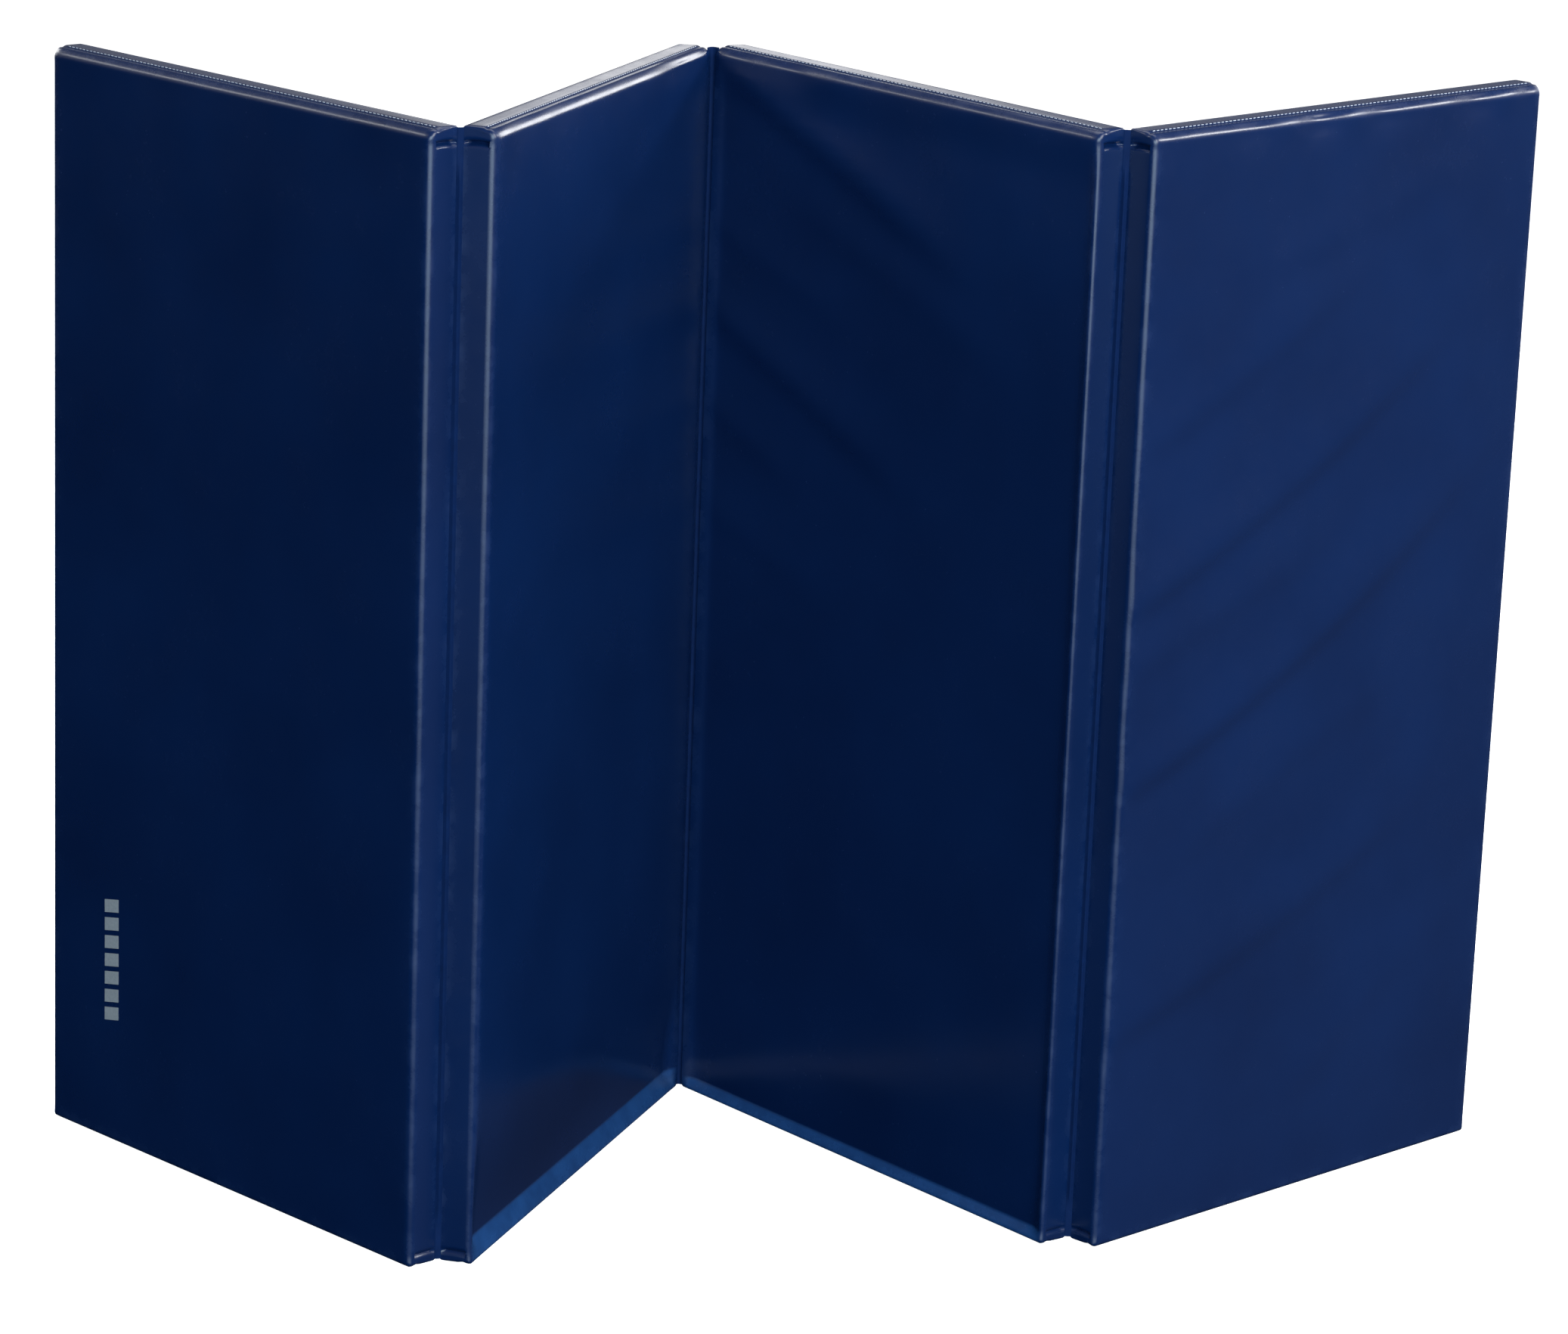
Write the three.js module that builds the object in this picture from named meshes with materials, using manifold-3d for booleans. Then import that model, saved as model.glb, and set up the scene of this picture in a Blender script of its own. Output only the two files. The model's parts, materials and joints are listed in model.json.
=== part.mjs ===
// Folding gym mat: four vinyl-covered foam panels in an accordion, standing on edge.
// Millimetres, +Z up. The fronts of the panels face -Y, and the floor is z = 0.
import * as THREE from "three";
import { mergeVertices } from "three/addons/utils/BufferGeometryUtils.js";
import Module from "manifold-3d";

const wasm = await Module();
wasm.setup();

// ---- driving dimensions -------------------------------------------------------------------

const MAT_LENGTH = 2438.4; // unfolded flat, 8 ft
const MAT_WIDTH = 1219.2; // the height when it stands on edge, 4 ft
const THICKNESS = 38.1; // 1 1/2 in
const FOLD_GAP = 5; // between two panels' ends when the mat lies flat
const AXIS_OFFSET = 0.5; // how far a fold's axis lies outside the faces that close on each other
const VINYL = 0.6; // cover sheet
const CLEARANCE = 0.3; // between pieces that touch
const EDGE_RADIUS = 12; // rounded long edges
const EDGE_STEPS = 5; // facets in each rounded edge
const SEAM_DEPTH = 0.3 * THICKNESS; // front face to the seam where the two covers meet

const TAPE_THICKNESS = 2; // hook and loop tape on the free ends
const TAPE_WIDTH = 25.4;
const TAPE_HEIGHTS = [3, 261, 312, 934, 960, 1010]; // cuts in each tape, from the floor up
const TAPE_PARTS = ["strip_lower", "patch_lower", "strip_middle", "patch_upper", "strip_upper"];

const PITCH = (MAT_LENGTH + FOLD_GAP) / 4; // one fold's axis to the next
const FOLD_ANGLES = [65.6, 61.1, 89.2]; // inside each fold, in degrees, as the mat stands
const PANEL_2_HEADING = 70.6; // from +X, in degrees

// ---- materials ----------------------------------------------------------------------------

const material = (color, roughness) =>
  new THREE.MeshStandardMaterial({ color, roughness, metalness: 0 });
const NAVY_VINYL = material(0x17305f, 0.32);
const FOAM = material(0xd9dde0, 0.9);
const LOOP_TAPE = material(0x2c2d33, 0.95);
const HOOK_TAPE = material(0x9b9c9a, 0.7);

// ---- solids -------------------------------------------------------------------------------

// A closed three.js geometry as a manifold-3d solid, for cuts and joins.
function toSolid(geometry) {
  const bare = geometry.clone();
  bare.deleteAttribute("normal");
  bare.deleteAttribute("uv");
  const merged = mergeVertices(bare, 1e-4);
  return new wasm.Manifold(
    new wasm.Mesh({
      numProp: 3,
      vertProperties: new Float32Array(merged.attributes.position.array),
      triVerts: new Uint32Array(merged.index.array),
    }),
  );
}

function toGeometry(solid) {
  const { vertProperties, triVerts } = solid.getMesh();
  const geometry = new THREE.BufferGeometry();
  geometry.setAttribute("position", new THREE.BufferAttribute(vertProperties, 3));
  geometry.setIndex(new THREE.BufferAttribute(triVerts, 1));
  const faceted = geometry.toNonIndexed();
  faceted.computeVertexNormals();
  return faceted;
}

function box([x0, x1], [y0, y1], [z0, z1]) {
  const geometry = new THREE.BoxGeometry(x1 - x0, y1 - y0, z1 - z0);
  return geometry.translate((x0 + x1) / 2, (y0 + y1) / 2, (z0 + z1) / 2);
}

// A panel-shaped slab, inset all round: a rounded section in Y and Z, run along X.
function slab(from, to, inset) {
  const [y0, y1] = [inset, THICKNESS - inset];
  const [z0, z1] = [inset, MAT_WIDTH - inset];
  const r = EDGE_RADIUS - inset;
  const section = new THREE.Shape()
    .moveTo(y0 + r, z0)
    .lineTo(y1 - r, z0)
    .absarc(y1 - r, z0 + r, r, -Math.PI / 2, 0)
    .lineTo(y1, z1 - r)
    .absarc(y1 - r, z1 - r, r, 0, Math.PI / 2)
    .lineTo(y0 + r, z1)
    .absarc(y0 + r, z1 - r, r, Math.PI / 2, Math.PI)
    .lineTo(y0, z0 + r)
    .absarc(y0 + r, z0 + r, r, Math.PI, 1.5 * Math.PI);
  const geometry = new THREE.ExtrudeGeometry(section, {
    depth: to - from - 2 * inset,
    bevelEnabled: false,
    curveSegments: EDGE_STEPS,
  });
  const [alongY, alongZ, alongX] = [
    new THREE.Vector3(0, 1, 0),
    new THREE.Vector3(0, 0, 1),
    new THREE.Vector3(1, 0, 0),
  ];
  geometry.applyMatrix4(new THREE.Matrix4().makeBasis(alongY, alongZ, alongX));
  return geometry.translate(from + inset, 0, 0);
}

// ---- panels -------------------------------------------------------------------------------

// Each panel lies in its own frame: X from its left fold axis to its right one, the front face
// at y = 0 and the back face at y = THICKNESS. A fold's axis lies just outside the faces that
// close on each other, and the end wall there comes whole from the cover on the open side.
const BACK_AXIS = THICKNESS + AXIS_OFFSET;
const FRONT_AXIS = -AXIS_OFFSET;
const FREE_END = FOLD_GAP / 2 + TAPE_THICKNESS + CLEARANCE;
const PANELS = [
  { name: "panel_1", left: "free", right: "back" },
  { name: "panel_2", left: "back", right: "front" },
  { name: "panel_3", left: "front", right: "back" },
  { name: "panel_4", left: "back", right: "free" },
];

const endInset = (end) => (end === "free" ? FREE_END : FOLD_GAP / 2);
const everyZ = [-1, MAT_WIDTH + 1];

// The two vinyl trays that meet at the seam, and the foam that they hold.
function panelPieces({ name, left, right }) {
  const from = endInset(left);
  const to = PITCH - endInset(right);
  const outer = toSolid(slab(from, to, 0));
  const skin = outer.subtract(toSolid(slab(from, to, VINYL)));

  const endWalls = [
    { axis: left, x: [from - 1, from + VINYL] },
    { axis: right, x: [to - VINYL, to + 1] },
  ];
  const half = CLEARANCE / 2;
  let front = toSolid(box([from - 1, to + 1], [-1, SEAM_DEPTH - half], everyZ));
  let back = toSolid(box([from - 1, to + 1], [SEAM_DEPTH + half, THICKNESS + 1], everyZ));
  for (const { axis, x } of endWalls) {
    const wide = [x[0] - CLEARANCE, x[1] + CLEARANCE];
    if (axis === "back") {
      const wall = toSolid(box(x, [-1, THICKNESS - VINYL - CLEARANCE], everyZ));
      front = front.add(wall);
      back = back.subtract(toSolid(box(wide, [-1, THICKNESS - VINYL], everyZ)));
    } else if (axis === "front") {
      const wall = toSolid(box(x, [VINYL + CLEARANCE, THICKNESS + 1], everyZ));
      back = back.add(wall);
      front = front.subtract(toSolid(box(wide, [VINYL, THICKNESS + 1], everyZ)));
    }
  }
  return [
    [`${name}_foam_core`, slab(from, to, VINYL + CLEARANCE), FOAM],
    [`${name}_front_cover`, toGeometry(skin.intersect(front)), NAVY_VINYL],
    [`${name}_back_cover`, toGeometry(skin.intersect(back)), NAVY_VINYL],
  ];
}

// Hook and loop tape on a free end's wall, cut into strips and short patches of the other kind.
function tapePieces(side, xRange, strips, patches) {
  const y = [(THICKNESS - TAPE_WIDTH) / 2, (THICKNESS + TAPE_WIDTH) / 2];
  return TAPE_PARTS.map((part, i) => {
    const kind = part.startsWith("strip") ? strips : patches;
    const z = [TAPE_HEIGHTS[i] + CLEARANCE / 2, TAPE_HEIGHTS[i + 1] - CLEARANCE / 2];
    const color = kind === "hook" ? HOOK_TAPE : LOOP_TAPE;
    return [`${side}_end_${kind}_${part}`, box(xRange, y, z), color];
  });
}

// The flexible vinyl web that joins two panels at a fold: a chevron section about the fold's
// axis, which is its local origin. The inside of the fold opens along +X.
const WEB_END_MARGIN = 2; // short of the panel's top and bottom
function hingeWeb(angle) {
  const half = THREE.MathUtils.degToRad(angle / 2);
  const reach = FOLD_GAP / 2 - CLEARANCE;
  const legEnd = (offset, side) =>
    new THREE.Vector2(
      reach * Math.cos(half) - offset * Math.sin(half),
      side * (reach * Math.sin(half) + offset * Math.cos(half)),
    );
  const apex = (offset) => new THREE.Vector2(-offset / Math.sin(half), 0);
  const [near, far] = [AXIS_OFFSET, AXIS_OFFSET + VINYL];
  const section = new THREE.Shape([
    legEnd(near, -1),
    apex(near),
    legEnd(near, 1),
    legEnd(far, 1),
    apex(far),
    legEnd(far, -1),
  ]);
  const depth = MAT_WIDTH - 2 * WEB_END_MARGIN;
  const geometry = new THREE.ExtrudeGeometry(section, { depth, bevelEnabled: false });
  return geometry.translate(0, 0, WEB_END_MARGIN);
}

// ---- assembly -----------------------------------------------------------------------------

function addPieces(group, pieces) {
  for (const [name, geometry, look] of pieces) {
    const mesh = new THREE.Mesh(geometry, look);
    mesh.name = name;
    group.add(mesh);
  }
}

// Turns a panel's group to a heading and moves it so that its own point (x, y) lands on a spot.
function place(group, heading, [x, y], spot) {
  group.rotation.z = THREE.MathUtils.degToRad(heading);
  const arm = new THREE.Vector3(x, y, 0).applyEuler(group.rotation);
  group.position.set(spot.x - arm.x, spot.y - arm.y, 0);
  group.updateMatrix();
}

const onPanel = (group, x, y) => new THREE.Vector3(x, y, 0).applyMatrix4(group.matrix);

const headings = [
  PANEL_2_HEADING - 180 + FOLD_ANGLES[0],
  PANEL_2_HEADING,
  PANEL_2_HEADING - 180 + FOLD_ANGLES[1],
  PANEL_2_HEADING + FOLD_ANGLES[1] - FOLD_ANGLES[2],
];

const panels = PANELS.map((panel) => {
  const group = new THREE.Group();
  addPieces(group, panelPieces(panel));
  return group;
});
addPieces(panels[0], tapePieces("left", [FOLD_GAP / 2, FREE_END - CLEARANCE], "hook", "loop"));
addPieces(
  panels[3],
  tapePieces("right", [PITCH - FREE_END + CLEARANCE, PITCH - FOLD_GAP / 2], "loop", "hook"),
);

place(panels[1], headings[1], [0, 0], new THREE.Vector3());
const fold1 = onPanel(panels[1], 0, BACK_AXIS);
const fold2 = onPanel(panels[1], PITCH, FRONT_AXIS);
place(panels[0], headings[0], [PITCH, BACK_AXIS], fold1);
place(panels[2], headings[2], [0, FRONT_AXIS], fold2);
const fold3 = onPanel(panels[2], PITCH, BACK_AXIS);
place(panels[3], headings[3], [0, BACK_AXIS], fold3);

const mat = new THREE.Group();
mat.add(...panels);

// A web's inside faces along the bisector of its two panels.
const insides = [
  (headings[0] + 180 + headings[1]) / 2,
  (headings[1] + 180 + headings[2] + 360) / 2,
  (headings[2] + 180 + headings[3]) / 2,
];
[fold1, fold2, fold3].forEach((spot, i) => {
  const web = new THREE.Mesh(hingeWeb(FOLD_ANGLES[i]), NAVY_VINYL);
  web.name = `fold_${i + 1}_hinge_web`;
  web.position.copy(spot);
  web.rotation.z = THREE.MathUtils.degToRad(insides[i]);
  mat.add(web);
});

// The origin is on the floor, under the middle of the standing mat.
mat.updateMatrixWorld(true);
const middle = new THREE.Box3().setFromObject(mat, true).getCenter(new THREE.Vector3());
mat.position.set(-middle.x, -middle.y, 0);

export default mat;
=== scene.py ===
"""Folding gym mat: four foam panels in glossy navy vinyl covers, joined by sewn hinge webs and
standing on edge in a zigzag. Each panel is built in its own axes (x from its left end to its
right one, y from its front face to its back, z up) and then placed where the frame has it."""
import json
import math

import bmesh
import bpy
import numpy as np
from mathutils import Matrix, Vector

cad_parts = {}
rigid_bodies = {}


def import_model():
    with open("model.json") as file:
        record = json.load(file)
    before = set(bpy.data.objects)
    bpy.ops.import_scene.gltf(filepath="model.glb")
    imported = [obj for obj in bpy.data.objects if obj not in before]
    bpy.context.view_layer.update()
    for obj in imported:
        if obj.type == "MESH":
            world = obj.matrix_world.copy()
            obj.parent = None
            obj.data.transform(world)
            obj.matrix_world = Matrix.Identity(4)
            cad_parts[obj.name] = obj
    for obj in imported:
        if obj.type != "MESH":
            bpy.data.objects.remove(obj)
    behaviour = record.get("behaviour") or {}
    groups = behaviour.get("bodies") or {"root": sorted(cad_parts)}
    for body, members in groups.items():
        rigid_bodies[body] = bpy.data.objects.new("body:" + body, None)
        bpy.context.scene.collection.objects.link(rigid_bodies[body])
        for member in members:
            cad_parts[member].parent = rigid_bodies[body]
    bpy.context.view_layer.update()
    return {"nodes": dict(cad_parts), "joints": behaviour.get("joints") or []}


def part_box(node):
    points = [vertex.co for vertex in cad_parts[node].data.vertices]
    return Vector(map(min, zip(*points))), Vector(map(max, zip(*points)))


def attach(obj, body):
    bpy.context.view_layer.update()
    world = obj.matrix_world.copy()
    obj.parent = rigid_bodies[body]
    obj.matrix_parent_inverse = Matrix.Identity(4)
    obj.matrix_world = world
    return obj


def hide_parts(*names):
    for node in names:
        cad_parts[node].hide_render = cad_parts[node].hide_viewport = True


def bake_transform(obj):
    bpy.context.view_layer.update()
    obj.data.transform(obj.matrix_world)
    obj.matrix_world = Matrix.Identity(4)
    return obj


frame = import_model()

MM = 0.001

# ---------------------------------------------------------------- dimensions, in metres
SKIN = 0.6 * MM                 # vinyl sheet
SEAM_SHARE = 0.30               # the seam's place across the thickness, from the front
FRONT_ROLL = (17.5 * MM, 13.0 * MM)   # rounding of the upper front edge: depth, height
FOOT_ROLL = (4.5 * MM, 6.0 * MM)      # rounding of the lower front edge
BACK_TOP_RADIUS = 4.0 * MM
BACK_FOOT_RADIUS = 3.2 * MM
ROLL_EXPONENT = 2.25
RING_STEP = 9.0 * MM
ROW_STEP = 12.0 * MM
SEAM_VALLEY = 1.2 * MM
SEAM_WIDTH = 2.8 * MM
FOAM_SLACK = 2.0 * MM           # from the outside of the vinyl to the foam
FOAM_END_GAP = 9.0 * MM         # from the end of a panel at a fold to its foam, behind the slits
WEB_THICKNESS = 1.2 * MM
WEB_TUCK = 3.6 * MM             # how far a hinge web runs in behind each cover
WEB_SWELL = 2.4 * MM            # how far a hinge web bulges into the open side of its fold
CREASE_DEPTH = 6.0 * MM         # pull of the crease at a fold that is hinged at the front
WEB_BACK_DEPTH = 1.5 * MM       # from the back of the panels to a web that is hinged at the back
WEB_FRONT_DEPTH = 3.2 * MM      # from the front of the panels to a web that is hinged at the front
WEB_EMPTY, WEB_FULL = 34 * MM, 52 * MM   # from the ends of a web: where its bulge starts, is full
STITCH_PITCH = 6.0 * MM
STITCH_LENGTH = 4.2 * MM
STITCH_RADIUS = 0.45 * MM
STITCH_SLANT = 0.10             # how far a stitch may turn across its row
HINGE_REACH = (6.0 * MM, 5.0 * MM)   # how near a hinge axis lies to its end: along and across
FOOT_BAND, FOOT_ROWS = 20 * MM, 10   # closer rows above the foot roll: height and number
TOP_BAND, TOP_ROWS = 14 * MM, 11     # closer rows under the top roll
END_MARGIN = 11 * MM            # from the end of a panel to its first flat ring
END_TURNS = np.linspace(1.0, 0.15, 6)   # turns of the rings round the end rounding

# end roundings by the kind of end: front edge, top, foot and back edge
END_RADII = {
    "open_front": (8.0 * MM, 4.5 * MM, 4.0 * MM, 1.6 * MM),
    "open_back": (2.2 * MM, 4.5 * MM, 4.0 * MM, 9.0 * MM),
    "free": (4.5 * MM, 2.5 * MM, 3.0 * MM, 4.5 * MM),
}


def smoothstep(low, high, value):
    """0 below low, 1 above high, and a smooth step between them. Either order of the limits works."""
    t = np.clip((value - low) / (high - low), 0.0, 1.0)
    return t * t * (3.0 - 2.0 * t)


def bump(value, width):
    """A bell of height 1 at 0."""
    return np.exp(-((value / width) ** 2))


def waves(seed, x, z, lengths, count=9):
    """Smooth undulation between about -1 and 1, the sum of plane waves whose lengths are in metres."""
    draw = np.random.default_rng(seed)
    total = 0.0
    for _ in range(count):
        length = draw.uniform(*lengths)
        heading = draw.uniform(0.0, math.pi)
        phase = draw.uniform(0.0, math.tau)
        along = x * math.cos(heading) + z * math.sin(heading)
        total = total + np.sin(math.tau * along / length + phase)
    return total / math.sqrt(count)


# ---------------------------------------------------------------- the panels' own axes
def node_points(node):
    return np.array([v.co[:] for v in frame["nodes"][node].data.vertices], float)


class Panel:
    """One panel's axes, size and ends, read from the frame."""

    def __init__(self, number):
        self.number = number
        self.body = f"panel_{number}"
        core = node_points(f"{self.body}_foam_core")[:, :2]
        centre = (core.min(0) + core.max(0)) / 2
        _, axes = np.linalg.eigh(np.cov((core - centre).T))
        self.along = axes[:, 1] * np.sign(axes[0, 1])
        self.inward = np.array([-self.along[1], self.along[0]])
        self.origin = centre
        covers = [node_points(f"{self.body}_{side}_cover") for side in ("front", "back")]
        local = self.local(np.vstack(covers))
        low, high = local.min(0), local.max(0)
        self.origin = self.world(low[None])[0, :2]
        self.length, self.thickness, self.height = high - low
        self.left = self.end_kind(0.0)
        self.right = self.end_kind(self.length)

    def local(self, points):
        flat = np.asarray(points, float)[:, :2] - self.origin
        return np.column_stack([flat @ self.along, flat @ self.inward, np.asarray(points)[:, 2]])

    def world(self, points):
        points = np.asarray(points, float)
        flat = self.origin + np.outer(points[:, 0], self.along) + np.outer(points[:, 1], self.inward)
        return np.column_stack([flat, points[:, 2]])

    def end_kind(self, x):
        """Whether the end at x is free, or has its hinge at the back (open to the front) or at the front."""
        for joint in frame["joints"]:
            axis = self.local(np.array([joint["pos_m"]]))[0]
            along, across = HINGE_REACH
            if abs(axis[0] - x) < along and -across < axis[1] < self.thickness + across:
                return "open_front" if axis[1] > self.thickness / 2 else "open_back"
        return "free"


PANELS = {number: Panel(number) for number in (1, 2, 3, 4)}
HEIGHT = PANELS[1].height
THICKNESS = PANELS[1].thickness
SEAM = SEAM_SHARE * THICKNESS


# ---------------------------------------------------------------- mesh helpers
def mesh_object(name, points, faces, material):
    mesh = bpy.data.meshes.new(name)
    mesh.from_pydata([tuple(p) for p in points], [], [tuple(int(i) for i in f) for f in faces])
    mesh.validate()
    mesh.materials.append(material)
    piece = bpy.data.objects.new(name, mesh)
    bpy.context.scene.collection.objects.link(piece)
    return piece


def point_value(piece, name, values):
    """One number for each point of a piece, which its material reads by name."""
    made = piece.data.attributes.new(name, "FLOAT", "POINT")
    made.data.foreach_set("value", np.asarray(values, np.float32))


def smooth(piece, angle=50.0):
    piece.data.shade_smooth()
    piece.data.set_sharp_from_angle(angle=math.radians(angle))


def point_normals(points, faces):
    corners = np.array([f if len(f) == 4 else [f[0], *f] for f in faces])
    a, b, c, d = (points[corners[:, k]] for k in range(4))
    turns = np.cross(c - a, d - b)
    normals = np.zeros_like(points)
    for k in range(4):
        np.add.at(normals, corners[:, k], turns)
    return normals / np.maximum(np.linalg.norm(normals, axis=1), 1e-15)[:, None]


def shell(points, faces, thickness):
    """An open skin given its thickness on the inner side, with its rims closed."""
    count = len(points)
    edges = {(f[k], f[(k + 1) % len(f)]) for f in faces for k in range(len(f))}
    inner = [[i + count for i in f[::-1]] for f in faces]
    rim = [[b, a, a + count, b + count] for a, b in sorted(edges) if (b, a) not in edges]
    return np.vstack([points, points - point_normals(points, faces) * thickness]), faces + inner + rim


def part_of(points, faces):
    """Only the points that the faces use, and the faces numbered to match."""
    used = sorted({i for f in faces for i in f})
    place = {old: new for new, old in enumerate(used)}
    return points[used], [[place[i] for i in f] for f in faces]


# ---------------------------------------------------------------- a panel's section
def roll(centre_y, centre_z, depth, rise, turns):
    """Points of a rounded edge, from the upright side (turn 0) to the level side (turn 1)."""
    angle = np.asarray(turns) * math.pi / 2
    power = 2.0 / ROLL_EXPONENT
    return np.column_stack([centre_y - depth * np.cos(angle) ** power,
                            centre_z + rise * np.sin(angle) ** power])


def steps(low, high, count):
    """count even steps from low towards high, without high."""
    return np.linspace(low, high, count, endpoint=False)


def levels():
    """Heights of the rows on the upright sides: close together near the foot and the top."""
    low, high = FOOT_ROLL[1], HEIGHT - FRONT_ROLL[1]
    middle = int((high - low - FOOT_BAND - TOP_BAND) / ROW_STEP)
    return np.concatenate([steps(low, low + FOOT_BAND, FOOT_ROWS),
                           steps(low + FOOT_BAND, high - TOP_BAND, middle),
                           steps(high - TOP_BAND, high, TOP_ROWS)])


def section():
    """The front and back halves of the section, each from the bottom seam to the top one, with
    the outward direction at each point. Row for row the two halves lie at the same heights."""
    depth, rise = FRONT_ROLL
    foot_depth, foot_rise = FOOT_ROLL
    back = THICKNESS
    seam_turn = math.acos(((depth - SEAM) / depth) ** (ROLL_EXPONENT / 2)) / (math.pi / 2)
    upright = levels()

    foot_front = roll(foot_depth, foot_rise, foot_depth, -foot_rise, np.linspace(1.0, 0.0, 9))
    front = np.vstack([
        np.column_stack([steps(SEAM, foot_depth, 3), np.zeros(3)]),
        foot_front[:-1],
        np.column_stack([np.zeros(len(upright)), upright]),
        roll(depth, HEIGHT - rise, depth, rise, np.linspace(0.0, 1.0, 16) * seam_turn),
    ])

    arc = np.linspace(0.0, math.pi / 2, 5)
    low_radius, top_radius = BACK_FOOT_RADIUS, BACK_TOP_RADIUS
    foot_back = np.column_stack([back - low_radius + low_radius * np.sin(arc),
                                 low_radius - low_radius * np.cos(arc)])
    top_back = np.column_stack([back - top_radius + top_radius * np.cos(arc),
                                HEIGHT - top_radius + top_radius * np.sin(arc)])
    rear = np.vstack([
        np.column_stack([steps(SEAM, back - low_radius, 4), np.zeros(4)]),
        foot_back,
        np.column_stack([np.full(2, back), np.linspace(low_radius, foot_rise, 4)[1:3]]),
        np.column_stack([np.full(len(upright), back), upright]),
        np.column_stack([np.full(3, back), steps(HEIGHT - rise, HEIGHT - top_radius, 3)]),
        top_back[:-1],
        np.column_stack([steps(back - top_radius, depth, 4), np.full(4, HEIGHT)]),
        roll(depth, HEIGHT - rise, depth, rise, np.linspace(1.0, seam_turn, 5)),
    ])
    assert len(front) == len(rear), (len(front), len(rear))

    loop = np.vstack([front, rear[-2:0:-1]])
    turn = np.roll(loop, -1, 0) - np.roll(loop, 1, 0)
    out = np.column_stack([-turn[:, 1], turn[:, 0]])
    out /= np.linalg.norm(out, axis=1)[:, None]
    count = len(front)
    rear_out = np.vstack([out[:1], out[count:][::-1], out[count - 1:count]])
    return front, rear, out[:count], rear_out


FRONT_HALF, REAR_HALF, FRONT_OUT, REAR_OUT = section()
ROWS = len(FRONT_HALF)


def arc_from_seam(half):
    """Distance along the section from the nearer of the two seams, for each row."""
    gaps = np.linalg.norm(np.diff(half, axis=0), axis=1)
    run = np.concatenate([[0.0], np.cumsum(gaps)])
    return np.minimum(run, run[-1] - run)


# ---------------------------------------------------------------- creases, puckers and dents
# A fold: from and to (x, z), height, width above it and below it, and how far it bows upward.
FOLDS = {
    3: [
        ((0.00, 0.925), (0.36, 0.775), 4.0, 36, 14, 0.000),
        ((0.05, 1.180), (0.42, 1.030), 5.4, 34, 13, 0.004),
        ((0.00, 1.020), (0.26, 0.935), 1.6, 24, 12, 0.000),
        ((0.00, 0.815), (0.16, 0.750), 1.6, 24, 10, 0.000),
        ((0.00, 0.700), (0.20, 0.640), 1.5, 27, 15, 0.000),
        ((0.16, 1.060), (0.50, 0.930), 2.0, 34, 18, 0.006),
        ((0.05, 0.500), (0.45, 0.560), 0.9, 48, 24, 0.000),
    ],
    4: [
        ((0.00, 0.712), (0.50, 0.985), 5.2, 49, 14, -0.020),
        ((0.00, 0.512), (0.56, 0.830), 5.5, 48, 15, -0.030),
        ((0.00, 0.235), (0.50, 0.440), 3.3, 44, 15, -0.012),
        ((0.02, 0.885), (0.34, 1.050), 3.0, 44, 13, -0.006),
        ((0.00, 0.640), (0.30, 0.750), 2.2, 32, 13, 0.000),
        ((0.08, 0.420), (0.46, 0.600), 1.6, 32, 15, 0.000),
        ((0.20, 1.060), (0.52, 1.150), 1.6, 32, 15, 0.000),
        ((0.30, 0.120), (0.58, 0.330), 1.5, 48, 24, 0.000),
    ],
}
# Puckers of the upper front edge: height, spacing, and extra height towards the left end.
PUCKERS = {1: (0.7, 0.16, 0.0), 2: (0.7, 0.12, 0.4), 3: (0.9, 0.085, 2.6), 4: (1.8, 0.085, 0.0)}
SOFTNESS = 0.30 * MM            # height of the slow undulation of a cover
RELIEF_END = 14 * MM            # the relief fades out this near the ends of a panel
RELIEF_FOOT = (20 * MM, 90 * MM)     # and between these heights above the floor
FOLD_END = (-4 * MM, 22 * MM)   # a fold grows in between these distances from the left end
INSET_TOP = (10 * MM, 60 * MM)  # a held back face comes forward between these depths below the top
DENT_TOP = (12 * MM, 50 * MM)   # the dent fades out between these depths below the top
DENT_PLACE, DENT_WIDTH, DENT_DEPTH = 0.530, 0.050, 5.0 * MM   # slack corner of panel 2's top edge
FACE_INSET = {3: 5.2 * MM}      # this face is held back so that its folds stay inside the fold gap
FACE_LIMIT = {1: -6 * MM, 2: -0.3 * MM, 3: -0.3 * MM, 4: -6 * MM}   # how far a front may stand out
LEDGE = {2: (10.0 * MM, 24 * MM), 3: (7.0 * MM, 14 * MM)}   # foot: depth and height of the pinch
LEDGE_FADE = 7                  # the pinch fades out at this many times its height
LEDGE_END = 18 * MM             # and this near the ends of the panel
PUCKER_END = 25 * MM
PUCKER_LEFT = 0.22              # the extra height of the puckers fades out this far from the left end
# Slits of an end wall: distance from the top or the foot, arch, depth and width.
UPPER_SLIT = (18.0 * MM, 1.6 * MM, 6.5 * MM, 2.3 * MM)
LOWER_SLIT = (11.0 * MM, 1.5 * MM, 3.0 * MM, 2.0 * MM)


def fold_height(fold, x, z):
    (x0, z0), (x1, z1), height, above, below, bow = fold
    run, rise = x1 - x0, z1 - z0
    length = math.hypot(run, rise)
    t = ((x - x0) * run + (z - z0) * rise) / length ** 2
    across = ((z - z0) * run - (x - x0) * rise) / length
    inside = np.clip(t, 0.0, 1.0)
    across = across - bow * 4 * inside * (1 - inside)
    width = np.where(across > 0, above, below) * MM * (0.75 + 0.5 * inside)
    ends = smoothstep(-0.16, 0.14, t) * smoothstep(1.12, 0.62, t)
    return height * MM * bump(across, width) * ends


def end_fade(panel, x, reach, start=0.0):
    """0 at both ends of a panel and 1 farther in than reach."""
    return smoothstep(start, reach, x) * smoothstep(start, reach, panel.length - x)


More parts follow.
